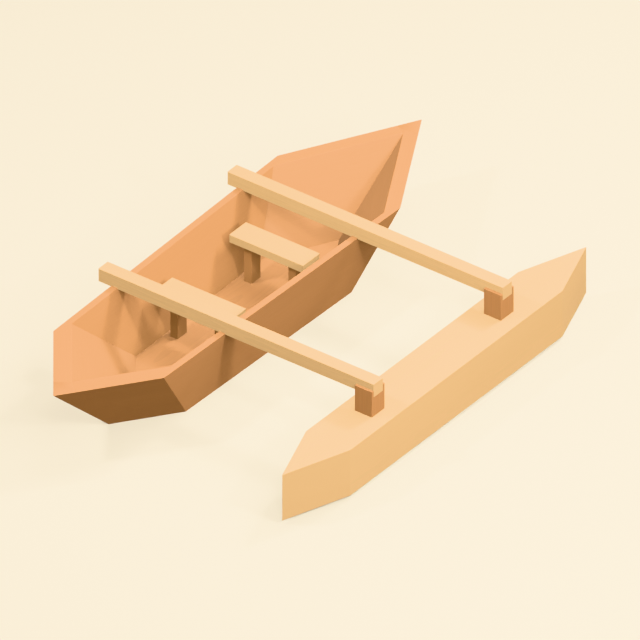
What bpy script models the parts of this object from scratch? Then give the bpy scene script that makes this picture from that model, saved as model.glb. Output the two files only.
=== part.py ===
# An outrigger canoe: an open hull of flat planks with two seats, and a float carried on two crossbeams.
# Metres. +X runs to the bow, +Y to port and +Z up. The origin is under the middle of the hull, on its bottom.
import bpy
import bmesh
from mathutils import Matrix, Vector

GAP = 0.0003                    # left between two pieces that touch
PORT, STARBOARD = 1, -1
FORE, AFT = 1, -1

# The hull's outline at the rim, as seen from above, is a long hexagon. Lower down the same outline is
# smaller, outside and inside, so that every wall is flat and flares outwards.
BOW = Vector((2.0, 0.0, 0.0))
BOW_SHOULDER = Vector((1.1, 0.5, 0.0))
STERN_SHOULDER = Vector((-1.4, 0.45, 0.0))
STERN = Vector((-2.0, 0.0, 0.0))
HULL_DEPTH = 0.55
FLOOR = 0.09                    # top of the bottom plank
OUTSIDE_AT_BOTTOM = 0.70        # size of each outline against the outer one at the rim
INSIDE_AT_FLOOR = 0.55
INSIDE_AT_RIM = 0.90

# Along each wall's foot a tongue stands in a groove in the bottom plank.
TONGUE_INSIDE = 0.62
TONGUE_OUTSIDE = 0.68
TONGUE_DEPTH = 0.025
TONGUE_ROOT = 0.02              # how far the tongue runs up into its wall

STEM_TENON = Vector((0.12, 0.05, 0.03))
STEM_TENON_X = 1.25

SEAT = Vector((0.18, 0.60, 0.06))
SEAT_X = 0.40
SEAT_TOP = 0.44
LEG = Vector((0.10, 0.06, 0.0))
LEG_Y = 0.18
LEG_TENON = Vector((0.05, 0.03, 0.03))

BEAM_X = 0.70
BEAM_SIDE = 0.10                # the crossbeams are square
BEAM_TOP = 0.64
BEAM_PORT_END = 0.57
BEAM_STARBOARD_END = -1.67

FLOAT_Y = -1.60
FLOAT_LENGTH = 3.30
FLOAT_STRAIGHT = 2.30           # length of its parallel sides
FLOAT_WIDTH = 0.36
FLOAT_BOTTOM = 0.03
FLOAT_TOP = 0.39

POST_SIDE = 0.14
POST_TOP = 0.59                 # it forks 50 mm up the beam's sides
POST_TENON = Vector((0.07, 0.07, 0.06))

DARK_WOOD = (0.72, 0.36, 0.14)
LIGHT_WOOD = (0.90, 0.62, 0.33)
WOOD_ROUGHNESS = 0.55


def clear_scene():
    for thing in list(bpy.data.objects):
        bpy.data.objects.remove(thing, do_unlink=True)


def new_collection(name):
    collection = bpy.data.collections.new(name)
    bpy.context.scene.collection.children.link(collection)
    return collection


def wood(name, colour):
    material = bpy.data.materials.new(name)
    material.use_nodes = True
    shader = material.node_tree.nodes["Principled BSDF"]
    shader.inputs["Base Color"].default_value = (*colour, 1.0)
    shader.inputs["Roughness"].default_value = WOOD_ROUGHNESS
    shader.inputs["Metallic"].default_value = 0.0
    material.diffuse_color = (*colour, 1.0)
    return material


# Blocks and boards

def add_block(mesh, low, high):
    size = high - low
    place = Matrix.Translation((low + high) / 2) @ Matrix.Diagonal((*size, 1.0))
    bmesh.ops.create_cube(mesh, size=1.0, matrix=place)


def add_piece(name, mesh, collection, colour=None):
    """The finished mesh as an object of its own, with its origin in its middle."""
    corners = [vertex.co for vertex in mesh.verts]
    middle = Vector((min(c[axis] for c in corners) + max(c[axis] for c in corners)) / 2 for axis in range(3))
    bmesh.ops.translate(mesh, verts=mesh.verts, vec=-middle)
    bmesh.ops.recalc_face_normals(mesh, faces=mesh.faces)
    data = bpy.data.meshes.new(name)
    mesh.to_mesh(data)
    mesh.free()
    piece = bpy.data.objects.new(name, data)
    piece.location = middle
    collection.objects.link(piece)
    if colour:
        data.materials.append(wood(name + "_wood", colour))
    return piece


def board(name, low, high, collection, colour=None):
    mesh = bmesh.new()
    add_block(mesh, Vector(low), Vector(high))
    return add_piece(name, mesh, collection, colour)


def sawn_block(name, low, high, cuts, collection, colour=None):
    """A block sawn along planes, each a point on the plane and the direction of the waste."""
    mesh = bmesh.new()
    add_block(mesh, Vector(low), Vector(high))
    for point, waste in cuts:
        everything = mesh.verts[:] + mesh.edges[:] + mesh.faces[:]
        bmesh.ops.bisect_plane(mesh, geom=everything, plane_co=point, plane_no=waste, clear_outer=True)
        bmesh.ops.holes_fill(mesh, edges=[edge for edge in mesh.edges if edge.is_boundary])
    return add_piece(name, mesh, collection, colour)


def combine(piece, tool, operation):
    """Joins the tool to the piece, or cuts the piece with it. The tool itself is only a guide."""
    tool.display_type = "WIRE"
    tool.hide_render = True
    modifier = piece.modifiers.new(tool.name, "BOOLEAN")
    modifier.operation = operation
    modifier.solver = "EXACT"
    modifier.object = tool


def tenon_and_mortise(piece, holder, middle, size, tools):
    """A tenon on the piece, in a mortise in its holder. Half of the tenon's block is inside the piece."""
    middle = Vector(middle)
    half = Vector((size.x / 2, size.y / 2, size.z))
    clearance = Vector((GAP, GAP, GAP))
    name = piece.name + "_in_" + holder.name
    combine(piece, board(name + "_tenon", middle - half, middle + half, tools), "UNION")
    mortise = board(name + "_mortise", middle - half - clearance, middle + half + clearance, tools)
    combine(holder, mortise, "DIFFERENCE")


# The hull's planes

def mirrored(corner, side):
    return Vector((corner.x, side * corner.y, corner.z))


def outside_size(height):
    return OUTSIDE_AT_BOTTOM + (1.0 - OUTSIDE_AT_BOTTOM) * height / HULL_DEPTH


def inside_size(height):
    return INSIDE_AT_FLOOR + (INSIDE_AT_RIM - INSIDE_AT_FLOOR) * (height - FLOOR) / (HULL_DEPTH - FLOOR)


def at_height(corner, size, height):
    return Vector((corner.x * size, corner.y * size, height))


def plane_through(first, second, third, towards):
    """The plane through three points, its waste on the side of a fourth."""
    normal = (second - first).cross(third - first).normalized()
    if normal.dot(towards - first) < 0:
        normal.negate()
    return first, normal


def other_side(plane):
    point, waste = plane
    return point, -waste


def moved(plane, distance):
    """The same plane, moved towards its waste."""
    point, waste = plane
    return point + waste * distance, waste


def outer_face(start, end):
    """The outside of the wall between two rim corners, its waste outside the hull."""
    low = at_height(start, outside_size(0.0), 0.0)
    high = at_height(start, outside_size(HULL_DEPTH), HULL_DEPTH)
    return plane_through(low, at_height(end, outside_size(0.0), 0.0), high, (start + end) * 2)


def inner_face(start, end):
    """The inside of the wall between two rim corners, its waste in the hull's hollow."""
    low = at_height(start, inside_size(FLOOR), FLOOR)
    high = at_height(start, inside_size(HULL_DEPTH), HULL_DEPTH)
    return plane_through(low, at_height(end, inside_size(FLOOR), FLOOR), high, Vector((0, 0, HULL_DEPTH)))


def upright_face(start, end, size):
    """An upright plane along the wall between two rim corners, its waste outside the hull."""
    low = at_height(start, size, 0.0)
    return plane_through(low, at_height(end, size, 0.0), at_height(start, size, HULL_DEPTH), (start + end) * 2)


def wall_end(corner, other):
    """The joint at a wall's corner, its waste beyond that end.

    At a shoulder it is a mitre on the line from the hull's middle. At the bow and the stern it is a square
    cut through the sharp inner corner, where the wall butts against the stem.
    """
    if corner.y:
        return plane_through(Vector(), corner, Vector((0, 0, 1)), corner * 2 - other)
    low = at_height(corner, inside_size(FLOOR), FLOOR)
    high = at_height(corner, inside_size(HULL_DEPTH), HULL_DEPTH)
    along = corner - other
    across = Vector((-along.y, along.x, 0))
    return plane_through(low, low + across, high, low + along)


def rim_walls():
    """Name, start and end corner of each wall, from the bow round by port."""
    names = (("bow", BOW, BOW_SHOULDER), ("side", BOW_SHOULDER, STERN_SHOULDER), ("stern", STERN_SHOULDER, STERN))
    for side, side_name in ((PORT, "port"), (STARBOARD, "starboard")):
        for name, start, end in names:
            yield f"{name}_{side_name}", mirrored(start, side), mirrored(end, side)


# The hull's pieces

REACH = Vector((BOW.x + 0.1, BOW_SHOULDER.y + 0.1, 0.0))       # past the hull on every side


def make_bottom(canoe):
    cuts = [outer_face(start, end) for name, start, end in rim_walls()]
    high = REACH + Vector((0, 0, FLOOR))
    return sawn_block("hull_bottom", -REACH, high, cuts, canoe, DARK_WOOD)


def make_wall(name, start, end, bottom, canoe, tools):
    """A wall plank, standing on the bottom plank with its tongue in the groove."""
    ends = [moved(wall_end(start, end), -GAP / 2), moved(wall_end(end, start), -GAP / 2)]
    low = -REACH + Vector((0, 0, FLOOR + GAP))
    high = REACH + Vector((0, 0, HULL_DEPTH))
    faces = [outer_face(start, end), inner_face(start, end)]
    wall = sawn_block(name, low, high, faces + ends, canoe, DARK_WOOD)

    sides = [upright_face(start, end, TONGUE_OUTSIDE), other_side(upright_face(start, end, TONGUE_INSIDE))]
    foot = FLOOR - TONGUE_DEPTH
    root = FLOOR + TONGUE_ROOT
    low.z, high.z = foot, root
    tongue = sawn_block(name + "_tongue", low, high, sides + ends, tools)
    combine(wall, tongue, "UNION")

    low.z, high.z = foot - GAP, root
    wider = [moved(cut, GAP) for cut in sides + ends]
    groove = sawn_block(name + "_groove", low, high, wider, tools)
    combine(bottom, groove, "DIFFERENCE")
    return wall


def make_stem(name, tip, shoulder, bottom, canoe, tools):
    """The solid head between the two end planks, tenoned into the bottom plank."""
    cuts = []
    for side in (PORT, STARBOARD):
        corner = mirrored(shoulder, side)
        cuts.append(outer_face(tip, corner))
        cuts.append(moved(other_side(wall_end(tip, corner)), -GAP / 2))
    low = -REACH + Vector((0, 0, FLOOR + GAP))
    high = REACH + Vector((0, 0, HULL_DEPTH))
    stem = sawn_block(name, low, high, cuts, canoe, DARK_WOOD)
    direction = tip.normalized()
    tenon_and_mortise(stem, bottom, direction * STEM_TENON_X + Vector((0, 0, FLOOR)), STEM_TENON, tools)


def make_hull(canoe, tools):
    bottom = make_bottom(canoe)
    sides = []
    for name, start, end in rim_walls():
        wall = make_wall(name, start, end, bottom, canoe, tools)
        if name.startswith("side"):
            sides.append(wall)
    make_stem("stem_bow", BOW, BOW_SHOULDER, bottom, canoe, tools)
    make_stem("stem_stern", STERN, STERN_SHOULDER, bottom, canoe, tools)
    return bottom, sides


def make_seat(name, x, bottom, canoe, tools):
    """A seat board on two legs, each tenoned into the seat and into the bottom plank."""
    underside = SEAT_TOP - SEAT.z
    half = SEAT / 2
    seat = board("seat_" + name, (x - half.x, -half.y, underside), (x + half.x, half.y, SEAT_TOP), canoe, LIGHT_WOOD)
    for side, side_name in ((PORT, "port"), (STARBOARD, "starboard")):
        y = side * LEG_Y
        low = Vector((x, y, FLOOR + GAP)) - LEG / 2
        high = Vector((x, y, underside - GAP)) + LEG / 2
        leg = board(f"leg_{name}_{side_name}", low, high, canoe, DARK_WOOD)
        tenon_and_mortise(leg, bottom, (x, y, FLOOR), LEG_TENON, tools)
        tenon_and_mortise(leg, seat, (x, y, underside), LEG_TENON, tools)


# The outrigger

def make_float(canoe):
    """A log with upright sides, sawn to a point at both ends."""
    cuts = []
    for end in (FORE, AFT):
        tip = Vector((end * FLOAT_LENGTH / 2, FLOAT_Y, FLOAT_BOTTOM))
        above = tip + Vector((0, 0, FLOAT_TOP))
        for side in (PORT, STARBOARD):
            shoulder = Vector((end * FLOAT_STRAIGHT / 2, FLOAT_Y + side * FLOAT_WIDTH / 2, FLOAT_BOTTOM))
            cuts.append(plane_through(tip, shoulder, above, Vector((2 * tip.x, 2 * shoulder.y - tip.y, 0))))
    low = (-FLOAT_LENGTH / 2, FLOAT_Y - FLOAT_WIDTH / 2, FLOAT_BOTTOM)
    high = (FLOAT_LENGTH / 2, FLOAT_Y + FLOAT_WIDTH / 2, FLOAT_TOP)
    return sawn_block("float", low, high, cuts, canoe, LIGHT_WOOD)


def make_beam(name, x, sides, canoe, tools):
    """A crossbeam, let a little into the rim of both side planks. Its cutter also shapes the post's fork."""
    half = BEAM_SIDE / 2
    low = Vector((x - half, BEAM_STARBOARD_END, BEAM_TOP - BEAM_SIDE))
    high = Vector((x + half, BEAM_PORT_END, BEAM_TOP))
    board("beam_" + name, low, high, canoe, LIGHT_WOOD)
    clearance = Vector((GAP, GAP, GAP))
    notch = board(f"beam_{name}_notch", low - clearance, high + clearance, tools)
    for side in sides:
        combine(side, notch, "DIFFERENCE")
    return notch


def make_post(name, x, notch, float_log, canoe, tools):
    """A post on the float, forked under the beam."""
    half = POST_SIDE / 2
    low = (x - half, FLOAT_Y - half, FLOAT_TOP + GAP)
    high = (x + half, FLOAT_Y + half, POST_TOP)
    post = board("post_" + name, low, high, canoe, DARK_WOOD)
    combine(post, notch, "DIFFERENCE")
    tenon_and_mortise(post, float_log, (x, FLOAT_Y, FLOAT_TOP), POST_TENON, tools)


def make_canoe():
    clear_scene()
    canoe = new_collection("outrigger_canoe")
    tools = new_collection("cutters")
    bottom, sides = make_hull(canoe, tools)
    float_log = make_float(canoe)
    for end, name in ((FORE, "fore"), (AFT, "aft")):
        make_seat(name, end * SEAT_X, bottom, canoe, tools)
        notch = make_beam(name, end * BEAM_X, sides, canoe, tools)
        make_post(name, end * BEAM_X, notch, float_log, canoe, tools)


make_canoe()
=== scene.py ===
# An outrigger canoe of sawn planks and beams, finished piece by piece, in soft light on a pale floor.
# Metres. +X runs to the bow, +Y to port and +Z up.
from math import atan2, cos, radians, sin

import bmesh
import bpy
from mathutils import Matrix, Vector


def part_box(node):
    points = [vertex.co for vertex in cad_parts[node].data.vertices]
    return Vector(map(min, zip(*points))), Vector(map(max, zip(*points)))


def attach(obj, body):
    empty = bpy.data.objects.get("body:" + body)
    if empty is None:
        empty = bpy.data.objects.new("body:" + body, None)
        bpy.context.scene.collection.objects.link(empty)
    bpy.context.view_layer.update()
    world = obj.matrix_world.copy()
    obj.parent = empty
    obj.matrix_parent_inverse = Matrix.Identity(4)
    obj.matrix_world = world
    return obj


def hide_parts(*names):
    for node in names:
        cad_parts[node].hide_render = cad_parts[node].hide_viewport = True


GAP = 0.0003                    # left between two pieces that touch
PORT, STARBOARD = 1, -1
ENDS = (("fore", 1), ("aft", -1))
SIDES = (("port", PORT), ("starboard", STARBOARD))

# The hull's outline at the rim, a long hexagon. Lower down the same outline is smaller.
BOW = Vector((2.0, 0.0, 0.0))
BOW_SHOULDER = Vector((1.1, 0.5, 0.0))
STERN_SHOULDER = Vector((-1.4, 0.45, 0.0))
STERN = Vector((-2.0, 0.0, 0.0))
OUTSIDE_AT_BOTTOM = 0.70        # size of each outline against the outer one at the rim
INSIDE_AT_FLOOR = 0.55
INSIDE_AT_RIM = 0.90
WALLS = (
    # name, start, end
    ("bow", BOW, BOW_SHOULDER),
    ("side", BOW_SHOULDER, STERN_SHOULDER),
    ("stern", STERN_SHOULDER, STERN),
)
FLOAT_STRAIGHT = 2.30           # length of the float's parallel sides

EASED = 0.0015                  # how far the plane takes off a sharp edge
EASED_STEPS = 3
EASED_ROUND = 0.5               # half is round, less is hollow and more is fuller
SHARP = radians(12)             # an edge with less of a turn isn't an edge
SMOOTH_UP_TO = radians(40)      # the most that an eased edge turns from one strip to the next
FLAT_FACE_WEIGHT = 100          # the most there is, so that the eased edges don't shade the broad faces
FACES_UP = 0.9                  # the least upward share of a face that counts as level
THREAD = 0.00001                # closer than this is the same point
ROUGH_CUT = 0.1                 # how far a block stands proud before it is sawn to shape

# The camera looks along parallel lines.
VIEW_CENTRE = Vector((0.1392, -0.5661, 0.2144))
VIEW_WIDTH = 4.1653
VIEW_TURN = radians(-53.13)     # from straight ahead on the starboard side, towards the stern
VIEW_RISE = radians(34.24)
VIEW_DISTANCE = 12.0
VIEW_REACH = 100.0

FLOOR_SIDE = 120.0
PALE = (0.89, 0.783, 0.602, 1.0)


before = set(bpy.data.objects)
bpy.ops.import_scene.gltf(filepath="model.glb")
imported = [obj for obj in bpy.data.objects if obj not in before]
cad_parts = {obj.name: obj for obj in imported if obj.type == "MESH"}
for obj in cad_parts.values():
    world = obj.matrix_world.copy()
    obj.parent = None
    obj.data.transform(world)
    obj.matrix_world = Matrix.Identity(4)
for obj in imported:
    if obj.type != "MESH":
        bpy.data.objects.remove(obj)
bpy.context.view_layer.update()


# Bench work: picking up a piece, sawing, joining and easing it

def pick_up(piece):
    """Selects this piece and nothing else."""
    for other in bpy.context.selected_objects:
        other.select_set(False)
    piece.select_set(True)
    bpy.context.view_layer.objects.active = piece


def start_shaping(piece):
    pick_up(piece)
    bpy.ops.object.mode_set(mode="EDIT")
    bpy.ops.mesh.select_all(action="SELECT")


def stop_shaping():
    bpy.ops.object.mode_set(mode="OBJECT")


def choose(piece, kind, wanted):
    """Selects the faces or edges that are wanted, of the piece that is being shaped."""
    bpy.ops.mesh.select_mode(type={"edges": "EDGE", "faces": "FACE"}[kind])
    bpy.ops.mesh.select_all(action="DESELECT")
    mesh = bmesh.from_edit_mesh(piece.data)
    for part in getattr(mesh, kind):
        part.select_set(wanted(part))
    mesh.select_flush_mode()
    bmesh.update_edit_mesh(piece.data)


def block(name, low, high):
    bpy.ops.object.select_all(action="DESELECT")
    bpy.ops.mesh.primitive_cube_add(size=1.0, location=(low + high) / 2, scale=high - low)
    piece = bpy.context.object
    piece.name = name
    bpy.ops.object.transform_apply(location=True, rotation=True, scale=True)
    return piece


def copy_of(piece, name):
    pick_up(piece)
    bpy.ops.object.duplicate()
    copy = bpy.context.object
    copy.name = name
    return copy


def saw(piece, cuts):
    """Saws the piece along planes, each a point on the plane and the direction of the waste."""
    start_shaping(piece)
    for point, waste in cuts:
        bpy.ops.mesh.select_all(action="SELECT")
        bpy.ops.mesh.bisect(
            plane_co=point, plane_no=waste, use_fill=True, clear_outer=True, threshold=THREAD
        )
    stop_shaping()


def cut_out(piece, tool):
    """Cuts the tool's shape out of the piece and puts the tool away."""
    pick_up(piece)
    modifier = piece.modifiers.new("cut", "BOOLEAN")
    modifier.operation = "DIFFERENCE"
    modifier.solver = "EXACT"
    modifier.object = tool
    bpy.ops.object.modifier_apply(modifier=modifier.name)
    bpy.data.objects.remove(tool, do_unlink=True)


def is_arris(edge):
    """A sharp outer edge, where two faces of the wood meet."""
    return len(edge.link_faces) == 2 and edge.is_convex and edge.calc_face_angle(0.0) > SHARP


def is_upright(edge):
    run = edge.verts[0].co - edge.verts[1].co
    return abs(run.z) > abs(run.x) + abs(run.y)


def ease(piece, wanted=is_arris):
    """Takes the sharpness off the wanted edges, and notes on the new faces that they are eased."""
    start_shaping(piece)
    choose(piece, "edges", wanted)
    bpy.ops.mesh.bevel(offset=EASED, segments=EASED_STEPS, profile=EASED_ROUND, affect="EDGES")
    mesh = bmesh.from_edit_mesh(piece.data)
    eased = mesh.faces.layers.float.get("eased") or mesh.faces.layers.float.new("eased")
    for face in mesh.faces:
        if face.select:
            face[eased] = 1.0
    bmesh.update_edit_mesh(piece.data)
    stop_shaping()


def sand(piece):
    """Smooth shading over the eased edges, with every broad face left flat."""
    pick_up(piece)
    bpy.ops.object.shade_smooth_by_angle(angle=SMOOTH_UP_TO)
    modifier = piece.modifiers.new("flat faces", "WEIGHTED_NORMAL")
    modifier.weight = FLAT_FACE_WEIGHT
    modifier.keep_sharp = True
    bpy.ops.object.modifier_apply(modifier=modifier.name)


# The hull's planes

def mirrored(corner, side):
    return Vector((corner.x, side * corner.y, corner.z))


hull_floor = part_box("hull_bottom")[1].z
hull_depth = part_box("stem_bow")[1].z


def at_height(corner, size, height):
    return Vector((corner.x * size, corner.y * size, height))


def plane_through(first, second, third, towards):
    """The plane through three points, its waste on the side of a fourth."""
    normal = (second - first).cross(third - first).normalized()
    if normal.dot(towards - first) < 0:
        normal.negate()
    return first, normal


def other_side(plane):
    point, waste = plane
    return point, -waste


def moved(plane, distance):
    """The same plane, moved towards its waste."""
    point, waste = plane
    return point + waste * distance, waste


def outer_face(start, end):
    """The outside of the wall between two rim corners, its waste outside the hull."""
    low = at_height(start, OUTSIDE_AT_BOTTOM, 0.0)
    low_end = at_height(end, OUTSIDE_AT_BOTTOM, 0.0)
    high = at_height(start, 1.0, hull_depth)
    return plane_through(low, low_end, high, (start + end) * 2)


def inner_face(start, end):
    """The inside of the wall between two rim corners, its waste outside the hull."""
    low = at_height(start, INSIDE_AT_FLOOR, hull_floor)
    low_end = at_height(end, INSIDE_AT_FLOOR, hull_floor)
    high = at_height(start, INSIDE_AT_RIM, hull_depth)
    return plane_through(low, low_end, high, (start + end) * 2)


def wall_end(corner, other):
    """The joint at a wall's corner, its waste beyond that end.

    At a shoulder it is a mitre on the line from the hull's middle. At the bow and the stern it is a square
    cut through the sharp inner corner, where the wall butts against the stem.
    """
    if corner.y:
        return plane_through(Vector(), corner, Vector((0, 0, 1)), corner * 2 - other)
    low = at_height(corner, INSIDE_AT_FLOOR, hull_floor)
    high = at_height(corner, INSIDE_AT_RIM, hull_depth)
    along = corner - other
    across = Vector((-along.y, along.x, 0))
    return plane_through(low, low + across, high, low + along)


def rim_walls():
    """Name, side, start and end corner of each wall, from the bow round by port."""
    for side_name, side in SIDES:
        for name, start, end in WALLS:
            yield f"{name}_{side_name}", side, mirrored(start, side), mirrored(end, side)


# Numbers over a surface, worked out as plain sums

class Wire:
    """A socket of a finish, which sums and products can be taken of."""

    def __init__(self, finish, socket):
        self.finish = finish
        self.socket = socket

    def sum(self, operation, first, second):
        return self.finish.node("ShaderNodeMath", {"operation": operation}, {0: first, 1: second})

    def __add__(self, other):
        return self.sum("ADD", self, other)

    def __radd__(self, other):
        return self.sum("ADD", other, self)

    def __sub__(self, other):
        return self.sum("SUBTRACT", self, other)

    def __rsub__(self, other):
        return self.sum("SUBTRACT", other, self)

    def __mul__(self, other):
        return self.sum("MULTIPLY", self, other)

    def __rmul__(self, other):
        return self.sum("MULTIPLY", other, self)

    def __pow__(self, other):
        return self.sum("POWER", self, other)

    def __mod__(self, other):
        return self.sum("WRAP", self, other)


class Finish:
    """A material and the nodes that work out its surface."""

    def __init__(self, name):
        self.material = bpy.data.materials.new(name)
        self.material.use_nodes = True
        self.tree = self.material.node_tree
        self.shader = self.tree.nodes["Principled BSDF"]

    def node(self, kind, settings=None, sockets=None, out=0):
        """A node with its settings and then its sockets, by number or name. Gives one of its outputs."""
        made = self.tree.nodes.new(kind)
        for name, value in (settings or {}).items():
            setattr(made, name, value)
        for name, value in (sockets or {}).items():
            self.join(made.inputs[name], value)
        return Wire(self, made.outputs[out])

    def join(self, socket, value):
        if isinstance(value, Wire):
            self.tree.links.new(value.socket, socket)
        else:
            socket.default_value = value

    def set(self, name, value):
        self.join(self.shader.inputs[name], value)


# The woods

LIGHT = {"base": (0.79, 0.485, 0.215), "slot": "light_wood"}
DARK = {"base": (0.572, 0.265, 0.099), "slot": "dark_wood"}

# How the log lay: along the boat, across it or upright.
ALONG = (0.0, 0.0, 0.0)
ACROSS = (0.0, 0.0, radians(90))
UPRIGHT = (0.0, radians(90), 0.0)

# Waves to the metre, along the grain and in the two directions across it
BEND_WAVES = (0.9, 2.5, 2.5)
FIBRE_WAVES = (5.0, 170.0, 170.0)
PATCH_WAVES = (0.8, 4.0, 4.0)
RINGS_TO_THE_METRE = 75.0
RING_EDGE = 3.0                 # the higher it is, the thinner the dark line of each ring
BEND_SIDEWAYS = 0.05
BEND_UPWARDS = 0.03

MIDDLE = 0.5                    # what the noise comes to on the average, and half way in the tone
LATE_MIDDLE = 0.25              # what the dark line of the rings comes to on the average
LATE_DARKENS = 0.35
FIBRE_DARKENS = 0.5
PATCH_DARKENS = 0.6
EASING_LIGHTENS = 0.35
LIGHTEST = 1.10                 # against the wood's base colour
DARKEST = 0.90
SMOOTHEST = 0.58
FIBRE_ROUGHENS = 0.15
LATE_SINKS = 0.6
BUMP_STRENGTH = 0.12
BUMP_HEIGHT = 0.0008


def shade(colour, amount):
    return (*(part * amount for part in colour), 1.0)


def wood(name, kind, heart, turn):
    """Sawn wood. The tree's heart runs through one point, and turn says how the log lay."""
    finish = Finish(name + "_finish")
    place = finish.node("ShaderNodeTexCoord", out="Object")
    place = finish.node(
        "ShaderNodeMapping",
        {"vector_type": "TEXTURE"},
        {"Vector": place, "Location": heart, "Rotation": turn},
    )

    def noise(waves, detail=2.0, rough=0.5):
        stretched = finish.node("ShaderNodeVectorMath", {"operation": "MULTIPLY"}, {0: place, 1: waves})
        sockets = {"Vector": stretched, "Scale": 1.0, "Detail": detail, "Roughness": rough}
        return finish.node("ShaderNodeTexNoise", None, sockets)

    bend = noise(BEND_WAVES) - MIDDLE
    across = finish.node("ShaderNodeSeparateXYZ", None, {0: place}, out="Y")
    up = finish.node("ShaderNodeSeparateXYZ", None, {0: place}, out="Z")
    side = across + bend * BEND_SIDEWAYS
    rise = up + bend * BEND_UPWARDS
    radius = (side * side + rise * rise) ** 0.5
    ring = (radius * RINGS_TO_THE_METRE) % 1.0
    late = ring ** RING_EDGE
    fibre = noise(FIBRE_WAVES, detail=3.0, rough=0.6)
    patch = noise(PATCH_WAVES)
    eased = finish.node("ShaderNodeAttribute", {"attribute_name": "eased"}, out="Fac")
    depth = MIDDLE + LATE_DARKENS * (late - LATE_MIDDLE)
    depth = depth + FIBRE_DARKENS * (fibre - MIDDLE)
    depth = depth + PATCH_DARKENS * (patch - MIDDLE)
    depth = depth - EASING_LIGHTENS * eased
    colour = finish.node(
        "ShaderNodeMix",
        {"data_type": "RGBA", "clamp_factor": True},
        {"Factor": depth, 6: shade(kind["base"], LIGHTEST), 7: shade(kind["base"], DARKEST)},
        out=2,
    )
    finish.set("Base Color", colour)
    finish.set("Roughness", SMOOTHEST + FIBRE_ROUGHENS * fibre)
    height = fibre - LATE_SINKS * late
    sockets = {"Height": height, "Strength": BUMP_STRENGTH, "Distance": BUMP_HEIGHT}
    finish.set("Normal", finish.node("ShaderNodeBump", None, sockets))
    return finish.material


def finish_piece(piece, kind, heart, turn, *nodes):
    """The last step for every piece: its wood, its place on the boat and the nodes that it stands for.

    No light goes from one piece to another, which leaves each face as plain as a painted one.
    """
    sand(piece)
    piece.data.materials.clear()
    piece.data.materials.append(wood(piece.name, kind, heart, turn))
    piece.visible_diffuse = False
    piece.visible_glossy = False
    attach(piece, "root")
    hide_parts(*nodes)


# The hull

BOTTOM_HEART = (0.0, 0.12, -0.35)
WALL_HEART_SIZE = 0.85          # of the outline that the walls' hearts lie on, against the rim's
WALL_HEART_HEIGHT = 0.9
STEM_HEART_SIZE = 0.9
STEM_HEART_ASIDE = Vector((0.0, 0.05, 0.0))


def make_hull():
    """The hull is shaped whole, so that its edges run on across the joints, and then sawn into its planks."""
    reach = Vector((BOW.x + ROUGH_CUT, BOW_SHOULDER.y + ROUGH_CUT, hull_depth))
    whole = block("whole_hull", Vector((-reach.x, -reach.y, 0.0)), reach)
    saw(whole, [outer_face(start, end) for name, side, start, end in rim_walls()])
    over = Vector((0, 0, ROUGH_CUT))
    hollow = block("hollow", Vector((-reach.x, -reach.y, hull_floor)), reach + over)
    saw(hollow, [inner_face(start, end) for name, side, start, end in rim_walls()])
    cut_out(whole, hollow)
    ease(whole)

    up = Vector((0, 0, 1))
    bottom = copy_of(whole, "bottom_plank")
    saw(bottom, [(Vector((0, 0, hull_floor)), up)])
    finish_piece(bottom, DARK, BOTTOM_HEART, ALONG, "hull_bottom")

    saw(whole, [(Vector((0, 0, hull_floor + GAP)), -up)])
    clearance = Vector((GAP, GAP, GAP))
    for end_name, end in ENDS:
        low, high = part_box("beam_" + end_name)
        cut_out(whole, block("notch", low - clearance, high + clearance))

    for name, side, start, end in rim_walls():
        plank = copy_of(whole, name + "_plank")
        cuts = [(Vector(), Vector((0, -side, 0)))]
        cuts.append(moved(wall_end(start, end), -GAP / 2))
        cuts.append(moved(wall_end(end, start), -GAP / 2))
        saw(plank, cuts)
        run = end - start
        heart = (start + end) / 2 * WALL_HEART_SIZE + up * WALL_HEART_HEIGHT
        finish_piece(plank, DARK, heart, (0, 0, atan2(run.y, run.x)), name)

    for name, tip, shoulder in (("bow", BOW, BOW_SHOULDER), ("stern", STERN, STERN_SHOULDER)):
        stem = copy_of(whole, name + "_stem")
        cuts = []
        for side_name, side in SIDES:
            cuts.append(moved(other_side(wall_end(tip, mirrored(shoulder, side))), -GAP / 2))
        saw(stem, cuts)
        heart = tip * STEM_HEART_SIZE + STEM_HEART_ASIDE
        finish_piece(stem, DARK, heart, UPRIGHT, "stem_" + name)
    bpy.data.objects.remove(whole, do_unlink=True)


# The seats

SEAT_HEART_OUTWARD = 0.03       # from the middle of the board, away from the middle of the boat
SEAT_HEART_BELOW = 0.12
LEG_HEART = (-0.05, -0.03)      # from the leg's aft starboard edge


def make_seats():
    for end_name, end in ENDS:
        low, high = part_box("seat_" + end_name)
        seat = block(end_name + "_seat_board", low, high)
        ease(seat)
        heart = ((low.x + high.x) / 2 + SEAT_HEART_OUTWARD * end, 0.0, low.z - SEAT_HEART_BELOW)
        finish_piece(seat, LIGHT, heart, ACROSS, "seat_" + end_name)
        for side_name, side in SIDES:
            leg_low, leg_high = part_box(f"leg_{end_name}_{side_name}")
            foot = Vector((leg_low.x, leg_low.y, hull_floor + GAP))
            head = Vector((leg_high.x, leg_high.y, low.z - GAP))
            leg = block(f"{end_name}_{side_name}_leg", foot, head)
            ease(leg, is_upright)
            heart = (leg_low.x + LEG_HEART[0], leg_low.y + LEG_HEART[1], 0.0)
            finish_piece(leg, DARK, heart, UPRIGHT, f"leg_{end_name}_{side_name}")


# The outrigger

BEAM_HEART_INWARD = 0.02        # from the middle of the beam
BEAM_HEART_BELOW = 0.01
POST_HEART = (0.05, 0.04)       # from the post's middle
FLOAT_HEART_ASIDE = 0.03        # from the float's middle
FLOAT_HEART_BELOW = 0.1


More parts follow.
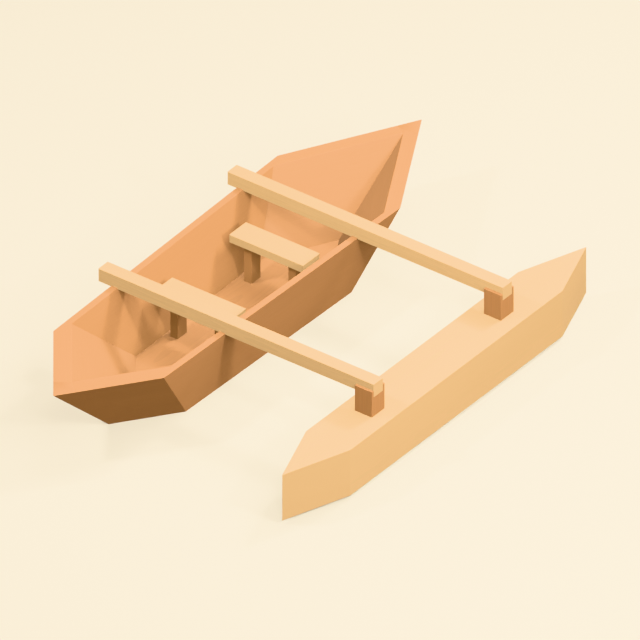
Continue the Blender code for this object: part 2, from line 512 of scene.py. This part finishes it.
def make_beams():
    for end_name, end in ENDS:
        low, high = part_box("beam_" + end_name)
        beam = block(end_name + "_beam", low, high)
        ease(beam)
        middle = (low + high) / 2
        heart = (middle.x - BEAM_HEART_INWARD * end, 0.0, middle.z - BEAM_HEART_BELOW)
        finish_piece(beam, LIGHT, heart, ACROSS, "beam_" + end_name)


def make_posts():
    """Each post forks under its beam. It is a block up to the beam, with two cheeks drawn up beside it."""
    float_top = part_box("float")[1].z
    for end_name, end in ENDS:
        low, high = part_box("post_" + end_name)
        beam_low, beam_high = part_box("beam_" + end_name)
        middle = (low + high) / 2
        top = beam_low.z - GAP
        foot = Vector((low.x, low.y, float_top + GAP))
        post = block(end_name + "_post", foot, Vector((high.x, high.y, top)))
        start_shaping(post)
        for x in (beam_low.x - GAP, beam_high.x + GAP):
            bpy.ops.mesh.select_all(action="SELECT")
            bpy.ops.mesh.bisect(plane_co=(x, 0, 0), plane_no=(1, 0, 0))

        def is_cheek(face):
            centre = face.calc_center_median()
            beside_beam = not beam_low.x < centre.x < beam_high.x
            return face.normal.z > FACES_UP and abs(centre.z - top) < GAP and beside_beam

        choose(post, "faces", is_cheek)
        bpy.ops.mesh.extrude_region_move(TRANSFORM_OT_translate={"value": (0, 0, high.z - top)})
        stop_shaping()

        def shows(edge):
            centre = (edge.verts[0].co + edge.verts[1].co) / 2
            seated = centre.z < float_top + 2 * GAP
            in_fork = beam_low.x - 2 * GAP < centre.x < beam_high.x + 2 * GAP and centre.z > top - GAP
            return is_arris(edge) and not seated and not in_fork

        ease(post, shows)
        heart = (middle.x + POST_HEART[0], middle.y + POST_HEART[1], 0.0)
        finish_piece(post, DARK, heart, UPRIGHT, "post_" + end_name)


def make_float():
    """A log with upright sides, sawn to a point at both ends."""
    low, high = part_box("float")
    log = block("float_log", low, high)
    middle = (low + high) / 2
    cuts = []
    for end_name, end in ENDS:
        tip = Vector((end * high.x, middle.y, low.z))
        for side in (PORT, STARBOARD):
            shoulder = Vector((end * FLOAT_STRAIGHT / 2, middle.y + side * (high.y - low.y) / 2, low.z))
            waste = Vector((2 * tip.x, 2 * shoulder.y - tip.y, 0))
            cuts.append(plane_through(tip, shoulder, tip + Vector((0, 0, 1)), waste))
    saw(log, cuts)
    ease(log)
    heart = (0.0, middle.y + FLOAT_HEART_ASIDE, middle.z - FLOAT_HEART_BELOW)
    finish_piece(log, LIGHT, heart, ALONG, "float")


# The studio

def make_camera():
    level = cos(VIEW_RISE)
    back = Vector((sin(VIEW_TURN) * level, -cos(VIEW_TURN) * level, sin(VIEW_RISE)))
    data = bpy.data.cameras.new("camera")
    data.type = "ORTHO"
    data.ortho_scale = VIEW_WIDTH
    data.clip_end = VIEW_REACH
    camera = bpy.data.objects.new("camera", data)
    camera.location = VIEW_CENTRE + back * VIEW_DISTANCE
    camera.rotation_euler = (-back).to_track_quat("-Z", "Y").to_euler()
    bpy.context.scene.collection.objects.link(camera)
    bpy.context.scene.camera = camera


def make_floor():
    bpy.ops.object.select_all(action="DESELECT")
    bpy.ops.mesh.primitive_plane_add(size=FLOOR_SIDE)
    floor = bpy.context.object
    floor.name = "pale_floor"
    finish = Finish("pale_floor_finish")
    finish.set("Base Color", PALE)
    finish.set("Roughness", 1.0)
    finish.set("Specular IOR Level", 0.0)
    floor.data.materials.append(finish.material)
    floor.visible_diffuse = False
    floor.visible_glossy = False


def make_light(name, azimuth, elevation, distance, size, power):
    """A soft round lamp, placed by its direction from the middle of the boat and turned to it."""
    data = bpy.data.lights.new(name, "AREA")
    data.shape = "DISK"
    data.size = size
    data.energy = power
    lamp = bpy.data.objects.new(name, data)
    away = Vector((cos(azimuth) * cos(elevation), sin(azimuth) * cos(elevation), sin(elevation)))
    lamp.location = VIEW_CENTRE + away * distance
    lamp.rotation_euler = (-away).to_track_quat("-Z", "Y").to_euler()
    lamp.visible_camera = False
    data.cycles.use_multiple_importance_sampling = False
    bpy.context.scene.collection.objects.link(lamp)


LAMPS = (
    # name, azimuth and elevation in degrees, distance, size, power
    ("port_quarter", 143.8, 50.0, 10.09, 1.01, 469.0),
    ("starboard_bow", -13.5, 51.2, 12.02, 1.01, 419.0),
    ("starboard_bow_near", -25.3, 51.3, 7.77, 2.62, 347.0),
    ("starboard_side", -105.1, 35.7, 7.46, 0.65, 168.0),
    ("starboard_side_wide", -105.0, 46.2, 6.55, 4.69, 231.0),
    ("starboard_quarter", -137.6, 40.3, 12.75, 1.67, 263.0),
    ("overhead", 13.5, 71.1, 21.67, 9.69, 927.0),
)
SKY_ABOVE = 0.64
SKY_BELOW = 0.23
SKY_BLEND = 0.05                # how far above and below the horizon the two halves blend


def make_sky():
    """A dim light from all round, in two halves, above and below. It casts no shadow."""
    world = bpy.data.worlds.new("soft_sky")
    world.use_nodes = True
    tree = world.node_tree
    background = tree.nodes["Background"]
    direction = tree.nodes.new("ShaderNodeTexCoord")
    parts = tree.nodes.new("ShaderNodeSeparateXYZ")
    above = tree.nodes.new("ShaderNodeMapRange")
    tree.links.new(direction.outputs["Generated"], parts.inputs[0])
    tree.links.new(parts.outputs["Z"], above.inputs["Value"])
    above.inputs["From Min"].default_value = -SKY_BLEND
    above.inputs["From Max"].default_value = SKY_BLEND
    above.inputs["To Min"].default_value = SKY_BELOW
    above.inputs["To Max"].default_value = SKY_ABOVE
    tree.links.new(above.outputs["Result"], background.inputs["Strength"])
    background.inputs["Color"].default_value = (1.0, 1.0, 1.0, 1.0)
    bpy.context.scene.world = world


def make_studio():
    make_floor()
    for name, azimuth, elevation, distance, size, power in LAMPS:
        make_light(name, radians(azimuth), radians(elevation), distance, size, power)
    make_sky()
    bpy.context.scene.view_settings.view_transform = "Khronos PBR Neutral"


make_camera()
make_hull()
make_seats()
make_beams()
make_posts()
make_float()
make_studio()
